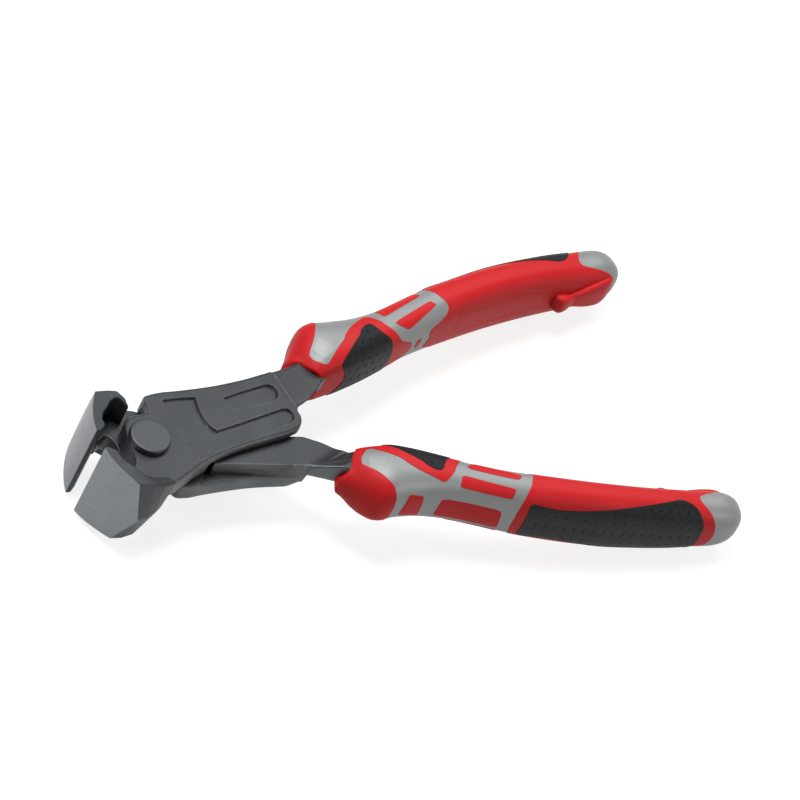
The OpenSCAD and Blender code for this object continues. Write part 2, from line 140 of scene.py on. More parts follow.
def curve_through(places, at):
    """Smooth curve through rows of [at, value, ...]: cubic between neighbours, whose slope
    at each row is a mean of those on its two sides, in which the shorter side weighs more."""
    places = np.asarray(places, float)
    knots, values = places[:, 0], places[:, 1:]
    slopes = np.gradient(values, knots, axis=0)
    at = np.clip(np.asarray(at, float), knots[0], knots[-1])
    k = np.clip(np.searchsorted(knots, at, side="right") - 1, 0, len(knots) - 2)
    step = (knots[k + 1] - knots[k])[..., None]
    t = ((at - knots[k]) / (knots[k + 1] - knots[k]))[..., None]
    curve = (
        values[k] * (1 + 2 * t) * (1 - t) ** 2
        + values[k + 1] * t * t * (3 - 2 * t)
        + slopes[k] * step * t * (1 - t) ** 2
        - slopes[k + 1] * step * t * t * (1 - t)
    )
    return curve[..., 0] if values.shape[1] == 1 else curve


def outline_distance(x, y, corners):
    """Distance of places from a closed outline, negative inside: the least distance to
    its sides, with the sign from how often a ray along x crosses them."""
    start, end = corners, np.roll(corners, -1, axis=0)
    side = end - start
    to_x, to_y = x[..., None] - start[:, 0], y[..., None] - start[:, 1]
    share = np.clip((to_x * side[:, 0] + to_y * side[:, 1]) / (side**2).sum(1), 0, 1)
    far = np.hypot(to_x - share * side[:, 0], to_y - share * side[:, 1]).min(-1)
    spans = (start[:, 1] > y[..., None]) != (end[:, 1] > y[..., None])
    rise = np.where(side[:, 1] == 0, 1, side[:, 1])
    hits = spans & (to_x < to_y * side[:, 0] / rise)
    return np.where(hits.sum(-1) % 2 == 1, -far, far)


def grid_faces(rows, columns, round_rows=False, round_columns=False):
    """Quads between the neighbours of a grid, joined end to end where it is round."""
    i = np.arange(rows if round_rows else rows - 1)[:, None]
    j = np.arange(columns if round_columns else columns - 1)[None, :]
    next_i, next_j = (i + 1) % rows, (j + 1) % columns
    corners = [i * columns + j, i * columns + next_j, next_i * columns + next_j, next_i * columns + j]
    return np.stack(np.broadcast_arrays(*corners), -1).reshape(-1, 4)


def ring_loft(rings):
    """Closed shell through rings of points: quads between the rings, and at each end a
    ladder of quads from one side of the ring to the other."""
    count, around = rings.shape[:2]
    sides = grid_faces(count, around, round_columns=True)
    a = np.arange(around // 2 - 1)
    ladder = np.stack([a, a + 1, around - 2 - a, around - 1 - a], -1)
    faces = np.concatenate([sides, ladder[:, ::-1], ladder + (count - 1) * around])
    return rings.reshape(-1, 3), faces


def in_place(points, half):
    """Points of a closed half in mm, put in the open rest position in metres: the left
    half is mirrored in y, and each half turns about the rivet by half the opening."""
    x, y, z = points[..., 0], points[..., 1] * half, points[..., 2]
    cos, sin = math.cos(half_opening), math.sin(half_opening) * half
    return np.stack([x * cos - y * sin, x * sin + y * cos, z], -1) * millimetre


def add_piece(name, shells, materials, body, node, attributes=None):
    """One object of closed shells, each given as points, quads and the place of its
    material; doubled points are welded and faces turned outwards."""
    points = np.concatenate([shell[0].reshape(-1, 3) for shell in shells])
    starts = np.cumsum([0] + [len(shell[0].reshape(-1, 3)) for shell in shells[:-1]])
    quads = np.concatenate([shell[1] + start for shell, start in zip(shells, starts)])
    finish = np.concatenate([np.broadcast_to(shell[2], len(shell[1])) for shell in shells])
    mesh = bpy.data.meshes.new(name)
    mesh.vertices.add(len(points))
    mesh.vertices.foreach_set("co", points.ravel())
    mesh.loops.add(quads.size)
    mesh.loops.foreach_set("vertex_index", quads.ravel())
    mesh.polygons.add(len(quads))
    mesh.polygons.foreach_set("loop_start", np.arange(0, quads.size, 4))
    mesh.polygons.foreach_set("material_index", finish)
    for key, values in (attributes or {}).items():
        layer = mesh.attributes.new(key, "FLOAT", "POINT")
        layer.data.foreach_set("value", values.ravel().astype(np.float32))
    for material in materials:
        mesh.materials.append(material)
    mesh.update(calc_edges=True)
    welded = bmesh.new()
    welded.from_mesh(mesh)
    bmesh.ops.remove_doubles(welded, verts=welded.verts, dist=weld_reach)
    bmesh.ops.dissolve_degenerate(welded, edges=welded.edges, dist=sliver_reach)
    bmesh.ops.recalc_face_normals(welded, faces=welded.faces)
    welded.to_mesh(mesh)
    welded.free()
    mesh.shade_smooth()
    mesh.set_sharp_from_angle(angle=sharp_angle)
    piece = bpy.data.objects.new(name, mesh)
    bpy.context.scene.collection.objects.link(piece)
    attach(piece, body)
    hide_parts(node)
    return piece


def plate_grid(stations, wall):
    """Grid of places over a plate, in rows from its inner edge to its outer edge, drawn
    together at both rims and along a wall at one y; with each place's reach from the rim."""
    rows, across, wall_rows = 320, 130, 15
    inset, least_inset, wall_reach = 1.5, 1.3, 0.5
    wall_least, wall_most = 0.1, 0.93
    spans = np.hypot(*(np.diff(stations[:, 0:2], axis=0) + np.diff(stations[:, 2:4], axis=0)).T)
    knots = np.concatenate([[0], np.cumsum(spans)])
    edges = curve_through(np.column_stack([knots, stations]), np.linspace(0, knots[-1], rows))
    width = np.hypot(edges[:, 2] - edges[:, 0], edges[:, 3] - edges[:, 1])[:, None]
    rim = np.array([0, 0.04, 0.12, 0.25, 0.42, 0.65, 0.9, 1.2])
    inside = np.linspace(inset, width[:, 0] - inset, across, axis=1)
    at_wall = np.clip((wall - edges[:, 3]) / (edges[:, 1] - edges[:, 3]), wall_least, wall_most)
    dense = at_wall[:, None] * width + np.linspace(-wall_reach, wall_reach, wall_rows)
    inside = np.concatenate([inside, dense], 1)
    inside = np.sort(np.clip(inside, least_inset, width - least_inset), 1)
    reach = np.concatenate([np.broadcast_to(rim, (rows, len(rim))), inside, width - rim[::-1]], 1)
    x = mix(edges[:, 2:3], edges[:, 0:1], reach / width)
    y = mix(edges[:, 3:4], edges[:, 1:2], reach / width)
    return x, y, reach, width - reach


def panels_at(x, y):
    """Distance from the outlines of the two forged panels, negative inside."""
    return np.minimum(outline_distance(x, y, slot_panel), outline_distance(x, y, long_panel))


def panel_sink(x, y):
    """Depth of the panels at each place: half of it at their outlines."""
    return panel_depth * smooth_step(0.5 - panels_at(x, y) / panel_wall)


def in_hub(x, y):
    """1 inside the round hub of the lap joint and 0 outside it."""
    return smooth_step((hub_radius - np.hypot(x, y)) / hub_wall)


# Right lever: the step and the fine line at its heel, the chamfer below the neck's inner
# edge, and where the neck and the tang begin
heel_step, step_length, heel_slant = 48.0, 0.5, 0.03
heel_line, line_depth, line_width = 48.4, 0.3, 0.3
neck_chamfer, chamfer_from, chamfer_width = 1.1, 3.0, 2.2
neck_from, neck_blend = 49.0, 2.0
tang_under, tang_from, tang_blend = 0.6, 60.2, 1.6


def right_heights(x, y, from_inner):
    """Upper and lower face of the right cheek and neck: panels sink into the top, the hub
    stands out below, and the neck's underside is hollowed where the left neck passes."""
    at_heel = x - heel_slant * y
    top = mix(cheek_top, neck_top, smooth_step((at_heel - heel_step) / step_length))
    top = top - line_depth * bell(at_heel - heel_line, line_width) - panel_sink(x, y)
    under = mix(relief_height, lap_gap / 2, in_hub(x, y))
    chamfer = neck_chamfer * smooth_step((chamfer_from - from_inner) / chamfer_width)
    under = mix(under, relief_height + chamfer, smooth_step((x - neck_from) / neck_blend))
    return top, mix(under, tang_under, smooth_step((x - tang_from) / tang_blend))


# Left lever: the low flange and the pad with its stepped outer wall, the crease where the
# neck climbs, the room it leaves for the right neck, and its sloping underside
flange_height = -1.0
pad_height = 3.0
pad_start, pad_inner, pad_outer = 19.1, -5.4, 5.4
pad_front_wall, pad_inner_wall, pad_outer_wall = 0.6, 0.5, 0.6
upper_step, step_share = 2.3, 0.42
heel, heel_blend = 47.6, 0.8
crease_x, crease_y = 46.8, 5.5
crease_across_x, crease_across_y = 0.563, 0.826
crease_offset, crease_round = 0.5, 0.6
climb_slope, climb_most = 0.5, 3.3
room_least, room_slope, room_from, room_width = 1.0, 1.2, 0.3, 3.0
heel_hollow, hollow_from, hollow_length = 2.0, 43.0, 4.6
neck_edge, neck_drop = -0.7, 5.1
drop_ease, ease_from, ease_length = 0.3, 50.0, 10.0


def left_heights(x, y, from_outer):
    """Upper and lower face of the left cheek and neck. The pad's flat top runs on into
    the neck, which climbs to the grip behind a slanting crease; the flange stays low, and
    the neck's underside slopes down inwards from its outer edge."""
    wall = (y - pad_outer + pad_outer_wall / 2) / pad_outer_wall
    lower_step = pad_height - flange_height - upper_step
    flank = upper_step * smooth_step(wall / step_share)
    flank = flank + lower_step * smooth_step((wall - 1 + step_share) / step_share)
    low = mix(-relief_height, flange_height, smooth_step((y - pad_outer) / (pad_outer_wall / 2)))
    on_pad = smooth_step((y - pad_inner) / pad_inner_wall) * smooth_step((x - pad_start) / pad_front_wall)
    top = mix(mix(low, pad_height - flank, on_pad), -lap_gap / 2, in_hub(x, y))
    past_crease = (x - crease_x) * crease_across_x + (y - crease_y) * crease_across_y - crease_offset
    climb = climb_slope * crease_round * np.log1p(np.exp(past_crease / crease_round))
    right_reach = np.interp(x, right_neck[:, 2], -right_neck[:, 3])
    room = room_least + room_slope * np.clip(y - right_reach - room_from, 0, room_width)
    neck = pad_height + np.minimum(np.minimum(climb, climb_most), room)
    under = -cheek_top + panel_sink(x, y) + heel_hollow * smooth_step((x - hollow_from) / hollow_length)
    ease = 1 - drop_ease * smooth_step((x - ease_from) / ease_length)
    slope = np.minimum(from_outer, neck_drop) * ease
    on_neck = smooth_step((x - heel) / heel_blend)
    return mix(top, neck, on_neck), mix(under, neck_edge - slope, on_neck)


# Rounding of each lever's upper and lower edges, and the painted highlight of paler steel along rims, panel
# outlines and pad edge, with its width
edge_rounds = {"right": (1.2, 0.7), "left": (0.9, 1.2)}
rim_highlight, rim_highlight_width = 0.8, 0.7
pad_highlight, pad_highlight_inset, pad_highlight_width = 0.7, 0.4, 0.3
panel_highlight, panel_highlight_width = 0.3, 0.25


def lever_rings(name):
    """Cheek and neck as rings across the lever: over the top from the inner edge to the
    outer edge, then back below in a coarser step, with the edges rounded off."""
    if name == "left":
        x, y, from_inner, from_outer = plate_grid(left_stations, pad_outer)
        top, under = left_heights(x, y, from_outer)
        on_pad = smooth_step((x - pad_start) / pad_front_wall)
        extra_highlight = pad_highlight * bell(y - pad_outer + pad_highlight_inset, pad_highlight_width) * on_pad
    else:
        x, y, from_inner, from_outer = plate_grid(right_stations, pad_outer)
        top, under = right_heights(x, y, from_inner)
        extra_highlight = panel_highlight * bell(panels_at(x, y) - panel_highlight_width, panel_highlight_width)
    rim = np.minimum(from_inner, from_outer)
    upper_round, lower_round = (np.minimum(edge, (top - under) / 2) for edge in edge_rounds[name])
    # Painted highlight: a paler band along the rims, plus the pad's top edge on the left lever and the panel
    # outlines on the right
    painted_highlight = rim_highlight * bell(rim, rim_highlight_width) + extra_highlight
    last, coarse_step = x.shape[1] - 1, 3
    columns = np.append(np.arange(0, last, coarse_step), last)[::-1]
    over = np.stack([x, y, top - upper_round * round_off(rim, upper_round)], -1)
    below = np.stack([x, y, under + lower_round * round_off(rim, lower_round)], -1)[:, columns]
    return np.concatenate([over, below], 1), np.concatenate([painted_highlight, painted_highlight[:, columns]], 1)


# Jaws: where the cutting edges lie, the convex ground face behind them, and the rounding
# of the sides towards the root
jaw_reach = 16.4
edge_gap = 0.04
face_radius = 24.0
face_lead = 0.09
face_share = 0.6
ridge_step = 0.004
edge_round, throat_round, round_share = 0.05, 0.6, 0.4
back_rounds = {"right": 1.0, "left": 2.2}
back_round_from, back_round_blend = 0.5, 0.3
back_shares = np.array([0, 0.35, 0.68, 1.0])

# Width of the ground face and the places behind it on the jaw's outer side, at its
# lower end, its middle and its upper end
face_widths = [[-1, 13.4], [-0.04, 17.5], [1, 14.0]]
jaw_backs = {
    "right": np.array([
        [[-11.0, -14.6], [-7.6, -15.0], [-5.2, -14.2]],
        [[-8.0, -17.6], [-5.2, -16.9], [-2.2, -15.6]],
        [[-9.4, -15.2], [-5.2, -15.8], [-0.4, -15.3]],
    ]),
    "left": np.array([
        [[-11.0, -14.6], [-7.6, -15.0], [-5.2, -14.2]],
        [[-8.0, -17.6], [-5.6, -16.9], [-3.4, -15.2]],
        [[-9.8, -15.0], [-7.0, -15.2], [-5.0, -13.9]],
    ]),
}

# Throat from the cutting edge to the root: share of the way, x and y
jaw_throat = np.array([
    [0.0, -15.0, -0.04], [0.1, -13.6, -1.64], [0.3, -13.6, -4.5], [0.42, -12.95, -6.4],
    [0.58, -11.3, -8.5], [0.72, -9.8, -10.7], [0.86, -7.2, -12.0],
])
throat_ends = {"right": [1.0, -2.4, -12.6], "left": [1.0, -4.4, -9.6]}

# Lower and upper end of the jaw from the cutting edge over the ridge to the root
jaw_ends = {
    "right": [[0, -18.4, 10.2], [0.6, -15.8, 9.7], [0.74, -15.8, 8.9], [1.0, -14.6, 6.55]],
    "left": [[0, -18.4, 10.2], [0.6, -15.8, 9.6], [0.85, -15.6, 9.3], [1.0, -14.6, 8.4]],
}


def jaw_outer_side(name, along, height):
    """x and y of a jaw's outer side at heights from -1 to 1, for each row: first the
    convex ground face, then straight pieces between the places behind it."""
    low, middle, high = face_widths
    face_width = np.where(
        height < middle[0], mix(low[1], middle[1], (height + 1) / (middle[0] + 1)),
        mix(middle[1], high[1], (height - middle[0]) / (1 - middle[0])),
    )
    y_face = edge_gap / 2 + face_width * np.clip(along / face_share, 0, 1)
    ridge = np.stack([-jaw_reach - face_lead * y_face + y_face**2 / (2 * face_radius), -y_face], -1)
    rear = np.clip((along - face_share) / (1 - face_share), 0, 1)
    backs = jaw_backs[name]
    down, up = np.clip(-height, 0, 1)[..., None, None], np.clip(height, 0, 1)[..., None, None]
    shape = backs[1] + down * (backs[0] - backs[1]) + up * (backs[2] - backs[1])
    shape = np.concatenate([ridge[..., None, :], shape], -2)
    place = np.clip(np.searchsorted(back_shares, rear, side="right") - 1, 0, 2)
    start, end = back_shares[place], back_shares[place + 1]
    share = (rear - start) / (end - start) + 0 * height
    place = np.broadcast_to(place, height.shape)[..., None, None]
    near = np.take_along_axis(shape, place, -2)[..., 0, :]
    far = np.take_along_axis(shape, place + 1, -2)[..., 0, :]
    return mix(near, far, share[..., None])


def jaw_rings(name):
    """Jaw as rings round it, carried from the cutting edge over the ground face and the
    ridge to the root. Each ring is a rounded rectangle between the outer side and the
    throat; the outer side is widest near the middle of the jaw's height."""
    face_rows, back_rows, count, corner_count, lane_count = 60, 50, 40, 8, 16
    along = np.concatenate([
        np.linspace(0, face_share, face_rows), np.linspace(face_share + ridge_step, 1, back_rows)
    ])[:, None]
    throat = curve_through(np.concatenate([jaw_throat, [throat_ends[name]]]), along[:, 0])
    bottom, top = curve_through(jaw_ends[name], along[:, 0]).T[..., None]
    tall = (top - bottom) / 2
    middle_line = jaw_outer_side(name, along, np.zeros_like(along))[:, 0]
    width = np.hypot(*(middle_line - throat).T)[:, None]
    back_round = back_rounds[name] * smooth_step((along - back_round_from) / back_round_blend)
    outer_r = np.minimum(edge_round + back_round, round_share * width)
    inner_r = np.minimum(throat_round, round_share * width)
    corner = np.linspace(0, math.pi / 2, corner_count)[1:-1]
    turn_up, turn_down = np.sin(corner)[None], np.cos(corner)[None]
    rise, lane = np.linspace(-1, 1, count)[None], np.linspace(0, 1, lane_count)[None]

    def corner_at(radius, inner, high):
        """Share from the outer side to the throat and height along a rounded corner."""
        across, level = radius * (1 - turn_down) / width, 1 - radius * (1 - turn_up) / tall
        return (1 - across if inner else across), (level if high else -level)

    parts = [(np.zeros_like(rise), rise * (1 - outer_r / tall))]
    parts.append(corner_at(outer_r, False, True))
    parts.append((mix(outer_r / width, 1 - inner_r / width, lane), np.ones_like(lane)))
    parts.append([part[:, ::-1] for part in corner_at(inner_r, True, True)])
    parts.append((np.ones_like(rise), -rise * (1 - inner_r / tall)))
    parts.append(corner_at(inner_r, True, False))
    parts.append((mix(1 - inner_r / width, outer_r / width, lane), -np.ones_like(lane)))
    parts.append([part[:, ::-1] for part in corner_at(outer_r, False, False)])
    rows = len(along)
    across = np.concatenate([np.broadcast_to(a, (rows, a.shape[1])) for a, _ in parts], 1)
    height = np.concatenate([np.broadcast_to(h, (rows, h.shape[1])) for _, h in parts], 1)
    place = mix(jaw_outer_side(name, along, height), throat[:, None], across[..., None])
    z = mix(bottom, top, (height + 1) / 2)
    around = across.shape[1]
    bright = np.zeros((rows - 1, around), int)
    bright[: face_rows - 1, : count - 1] = 1
    caps = np.zeros(2 * (around // 2 - 1), int)
    return np.concatenate([place, z[..., None]], -1), np.concatenate([bright.ravel(), caps])


def new_material(name):
    """Material with its shader, a maker of nodes and a link into the shader."""
    material = bpy.data.materials.new(name)
    material.use_nodes = True
    nodes, links = material.node_tree.nodes, material.node_tree.links
    shader = nodes["Principled BSDF"]

    def add(kind, inputs=(), **settings):
        """New node with its settings, and a value or a link on each input given."""
        node = nodes.new(kind)
        for key, value in settings.items():
            setattr(node, key, value)
        for key, value in dict(inputs).items():
            if isinstance(value, bpy.types.NodeSocket):
                links.new(value, node.inputs[key])
            else:
                node.inputs[key].default_value = value
        return node

    def feed(socket, value):
        """Link from a node's output to an input of the shader."""
        links.new(value, shader.inputs[socket])

    return material, shader, add, feed


def cloud_of(add, where, scale, detail):
    """Noise from 0 to 1 over a place, at a scale in waves to the metre."""
    return add("ShaderNodeTexNoise", {"Vector": where, "Scale": scale, "Detail": detail}).outputs["Fac"]


def tone_between(add, factor, first, second):
    """Colour between two, each a colour or a node's output, at a factor. The mixing node
    takes them on its inputs 6 and 7 and gives the colour on its output 2."""
    return add("ShaderNodeMix", {"Factor": factor, 6: first, 7: second}, data_type="RGBA").outputs[2]


def rough_between(add, factor, least, most):
    """Roughness between two bounds, at a factor."""
    return add("ShaderNodeMapRange", {"Value": factor, "To Min": least, "To Max": most}).outputs[0]


def bump_of(add, height, strength, depth):
    """Normal of a fine relief of a strength and a depth in metres."""
    return add("ShaderNodeBump", {"Height": height, "Strength": strength, "Distance": depth}).outputs[0]


def forged_finish():
    """Dark phosphate coat: fine shot-blasted grain in the bump, cloudy tone, and a painted
    highlight of paler steel in patches along the edges and panel rims."""
    coat_dark, coat_light = (0.04, 0.044, 0.047, 1), (0.066, 0.071, 0.075, 1)
    highlight_steel = (0.17, 0.18, 0.187, 1)
    material, shader, add, feed = new_material("forged_steel")
    where = add("ShaderNodeTexCoord").outputs["Object"]
    grain = cloud_of(add, where, scale=2600.0, detail=3.0)
    cloud = cloud_of(add, where, scale=90.0, detail=4.0)
    painted_highlight = add("ShaderNodeAttribute", attribute_name="painted_highlight").outputs["Fac"]
    # Painted highlight: paler steel where the mask marks the band along the edges
    patchy_highlight = add("ShaderNodeMath", {0: painted_highlight, 1: cloud}, operation="MULTIPLY").outputs[0]
    coat = tone_between(add, cloud, coat_dark, coat_light)
    feed("Base Color", tone_between(add, patchy_highlight, coat, highlight_steel))
    feed("Roughness", rough_between(add, grain, least=0.4, most=0.58))
    feed("Normal", bump_of(add, grain, strength=0.35, depth=0.0002))
    shader.inputs["Metallic"].default_value = 0.75
    return material


def ground_finish():
    """Ground steel: long fine scratches across the face in tone, roughness and bump."""
    scratch_dark, scratch_light = (0.12, 0.132, 0.14, 1), (0.27, 0.29, 0.3, 1)
    material, shader, add, feed = new_material("ground_steel")
    where = add("ShaderNodeTexCoord").outputs["Object"]
    drawn = add("ShaderNodeMapping", {"Vector": where, "Scale": (500.0, 500.0, 5200.0)}).outputs[0]
    lines = cloud_of(add, drawn, scale=1.0, detail=4.0)
    cloud = cloud_of(add, where, scale=150.0, detail=2.0)
    feed("Base Color", tone_between(add, lines, scratch_dark, scratch_light))
    feed("Roughness", rough_between(add, cloud, least=0.34, most=0.48))
    feed("Normal", bump_of(add, lines, strength=0.25, depth=0.0001))
    shader.inputs["Metallic"].default_value = 0.85
    return material


forged_steel = forged_finish()
ground_steel = ground_finish()

for name, half in halves.items():
    cheek, painted_highlight = lever_rings(name)
    cheek_points, cheek_faces = ring_loft(cheek)
    jaw, jaw_finish = jaw_rings(name)
    jaw_points, jaw_faces = ring_loft(jaw)
    add_piece(
        f"{name}_forged_lever",
        [
            (in_place(cheek_points, half), cheek_faces, 0),
            (in_place(jaw_points, half), jaw_faces, jaw_finish),
        ],
        [forged_steel, ground_steel], f"{name}_half", f"{name}_lever",
        # Mask of the painted highlight along the cheek's edges, none on the jaws
        {"painted_highlight": np.concatenate([painted_highlight.ravel(), np.zeros(len(jaw_points))])},
    )

# Pivot rivet: one turned pin of bare steel, set in the right lever. The flat upper
# head is faced in the lathe, and the lower end is set to a like head.

head_radius = 5.9
shank_radius = 4.0
head_height = 2.0
head_chamfer = 0.35
lower_seat = -6.8
dish_depth, dish_inner, dish_outer = 0.03, 2.0, 4.6
corner_step, corner_fall, corner_round = 0.1, 0.06, 0.15
seat_gap = 0.01

head_top, head_base = cheek_top + head_height, lower_seat - head_height


def turned(profile, count=128):
    """Profile of radius and height, turned about the z axis."""
    angle = np.linspace(0, 2 * math.pi, count, endpoint=False)
    radius, z = profile[:, 0:1], np.broadcast_to(profile[:, 1:2], (len(profile), count))
    return np.stack([radius * np.cos(angle), radius * np.sin(angle), z], -1)


# Radius and height, from the dished upper face down the shank to the lower face
rivet_profile = np.array([
    [0.0, head_top - dish_depth], [dish_inner, head_top - dish_depth], [dish_outer, head_top],
    [head_radius - head_chamfer - corner_step, head_top],
    [head_radius - head_chamfer + corner_step, head_top - corner_fall],
    [head_radius - corner_fall, head_top - head_chamfer],
    [head_radius, head_top - head_chamfer - corner_round],
    [head_radius, cheek_top + corner_round],
    [head_radius - corner_round, cheek_top + 2 * seat_gap],
    [shank_radius, cheek_top + seat_gap], [shank_radius, lower_seat - seat_gap],
    [head_radius - corner_round, lower_seat - 2 * seat_gap],
    [head_radius, lower_seat - corner_round],
    [head_radius, head_base + head_chamfer + corner_round],
    [head_radius - corner_fall, head_base + head_chamfer],
    [head_radius - head_chamfer, head_base], [dish_inner, head_base], [0.0, head_base],
])


def rivet_finish():
    """Bare turned steel: faint rings of the facing cut round the axis, fine scratches
    and a darker tone than the ground jaws."""
    pin_dark, pin_light = (0.055, 0.061, 0.065, 1), (0.09, 0.097, 0.102, 1)
    material, shader, add, feed = new_material("rivet_steel")
    where = add("ShaderNodeTexCoord").outputs["Object"]
    flat = add("ShaderNodeMapping", {"Vector": where, "Scale": (1.0, 1.0, 0.0)}).outputs[0]
    rings = add(
        "ShaderNodeTexWave", {"Vector": flat, "Scale": 900.0, "Distortion": 0.6, "Detail": 2.0},
        wave_type="RINGS", rings_direction="SPHERICAL",
    ).outputs["Fac"]
    scratch = cloud_of(add, where, scale=1500.0, detail=4.0)
    feed("Base Color", tone_between(add, scratch, pin_dark, pin_light))
    feed("Roughness", rough_between(add, scratch, least=0.4, most=0.55))
    feed("Normal", bump_of(add, rings, strength=0.06, depth=0.0001))
    shader.inputs["Metallic"].default_value = 0.85
    return material


rivet = turned(rivet_profile)
add_piece(
    "turned_rivet",
    [(in_place(rivet, 1), grid_faces(*rivet.shape[:2], round_columns=True), 0)],
    [rivet_finish()], "right_half", "pivot_rivet",
)

# Grip cores: hard silver-grey moulding shot round each tang. It carries the soft skins
# and shows bare in the waist of the grip and in the lane that runs forward from it.

grip_start = 58.6
grip_slant, grip_slant_up, grip_inset = 3.1, 0.3, 0.1
grip_length = 125.0
grip_radius = 8.0
guard_half_width = 10.1
grip_half_height = 10.5
grip_bow = 14.0
grip_rise = 3.0
grip_sink = 12.6
grip_gap, gap_round, gap_reach = 0.5, 1.3, 8
section_power = 2.6
end_from, end_at = 0.9, 0.988
end_power = 2.6
end_fade = 4
rim_round = 0.3
rim_steps = np.array([0, 0.05, 0.12, 0.22, 0.34])
lip_shares = np.array([0, 0.03, 0.1, 0.2, 0.34, 0.52, 0.75, 1.0])

# Share of the length with the share of the greatest half width, half height and bow, and
# how far the front of the middle line dips towards the neck
grip_width_places = [
    [-0.03, 0.48], [0.0144, 0.73], [0.04, 0.9], [0.06, 0.985], [0.075, 1.0], [0.09, 0.985],
    [0.107, 0.945], [0.13, 0.895], [0.17, 0.8], [0.25, 0.675], [0.33, 0.625], [0.41, 0.62],
    [0.56, 0.6], [0.72, 0.585], [0.87, 0.605], [1, 0.6],
]
grip_height_places = [
    [-0.03, 0.42], [0, 0.53], [0.02, 0.7], [0.035, 0.78], [0.05, 0.825], [0.09, 0.885],
    [0.12, 0.87], [0.17, 0.855], [0.25, 0.85], [0.33, 0.88], [0.41, 0.94], [0.56, 1], [0.64, 1],
    [0.72, 0.96], [0.8, 0.9], [0.87, 0.82], [0.95, 0.8], [1, 0.78],
]
grip_bow_places = [
    [-0.03, 0.35], [0.0144, 0.48], [0.04, 0.58], [0.06, 0.636], [0.075, 0.646], [0.09, 0.64],
    [0.107, 0.62], [0.13, 0.618], [0.17, 0.625], [0.25, 0.7], [0.33, 0.81], [0.41, 0.9],
    [0.49, 0.955], [0.6, 1], [0.72, 0.985], [0.8, 0.945], [0.87, 0.89], [1, 0.79],
]
grip_dip_places = [
    [-0.03, 2.4], [0.02, 2.1], [0.05, 1.3], [0.09, 0.4], [0.12, 0.08], [0.15, 0], [0.2, 0],
    [0.6, 0], [1, 0],
]


def flat_power(value):
    """Signed root that makes a circle's sections squarer."""
    return np.sign(value) * np.abs(value) ** (2 / section_power)


def grip_point(share, turn, rise):
    """Place on a grip at a share of its length and a turn in degrees from outwards over
    upwards, at a rise over the core: a squarish oval round a bowed middle line, drawn in
    to a round end, and flattened towards the other grip."""
    share, turn, rise = np.broadcast_arrays(share, np.radians(turn), rise)
    end = np.clip((share - end_from) / (end_at - end_from), 0, 1)
    taper = np.clip(1 - end**end_power, 0, 1) ** (1 / end_power)
    half_width = guard_half_width * curve_through(grip_width_places, share) * taper
    half_height = grip_half_height * curve_through(grip_height_places, share) * taper
    bow = grip_bow * curve_through(grip_bow_places, share)
    lift = rise * np.minimum(taper * end_fade, 1)
    y = bow + (half_width + lift) * flat_power(np.cos(turn))
    flat = grip_gap - rise
    near = np.minimum((y - flat) / gap_round, gap_reach)
    y = np.where(near < gap_reach, flat + gap_round * np.log1p(np.exp(near)), y)
    middle = grip_rise - grip_sink * share - curve_through(grip_dip_places, share)
    z = middle + (half_height + lift) * flat_power(np.sin(turn))
    return np.stack([grip_start + grip_length * share, y, z], -1)


def folded(turn):
    """Turn between 0 and 180, as the upper and the lower side of a grip are alike."""
    turn = np.mod(turn, 360)
    return np.where(turn > 180, 360 - turn, turn)


def front_border(turn):
    """Share at the slanted front of the grip, furthest forward on its outer side."""
    turn = np.radians(turn)
    return (grip_inset - grip_slant * np.cos(turn) + grip_slant_up * np.sin(turn)) / grip_length


def round_length(turn):
    """Length in mm of a turn in degrees, on a circle of the grip's usual radius."""
    return np.radians(turn) * grip_radius


def grip_tube(front, rear, rise, depth, rows=80, around=160, lip=(0.3, 0.35), groove=None):
    """Closed tube of grip skin between two borders, each a share for a turn: out over
    the skin from front to rear with rounded rims, and back in a coarser step below it. The
    front rim is rounded over a lip's length and depth; a groove may be cut into the skin."""
    lip_length, lip_depth = lip
    lip_gap, rear_gap, wall, coarse_step = 0.2, 0.5, 0.3, 4
    turn = np.linspace(0, 360, around, endpoint=False)[:, None]
    start, stop = front(turn), rear(turn)
    first, last = start + (lip_length + lip_gap) / grip_length, stop - rear_gap / grip_length
    outer = np.concatenate([
        start + lip_shares * lip_length / grip_length,
        mix(first, last, np.linspace(0, 1, rows)[None]),
        stop - rim_steps[::-1] / grip_length,
    ], 1)
    high = rise - (rise + lip_depth) * round_off((outer - start) * grip_length, lip_length)
    high = high - (rise + depth) * round_off((stop - outer) * grip_length, rim_round)
    if groove is not None:
        high = high - groove(outer, turn + 0 * outer)
    below = outer[:, ::-1][:, ::coarse_step]
    share = np.concatenate([outer, below], 1)
    level = np.concatenate([high, np.full(below.shape, -max(depth, lip_depth) - wall)], 1)
    points = grip_point(share, turn, level)
    return points, grid_faces(*points.shape[:2], round_rows=True, round_columns=True)


def add_to_both(piece, node, shells, material, attributes=None):
    """The same piece on both halves, put in place from closed shells of points and quads."""
    for name, half in halves.items():
        add_piece(
            f"{name}_{piece}", [(in_place(points, half), faces, 0) for points, faces, *_ in shells],
            [material], f"{name}_half", f"{name}_{node}", attributes,
        )


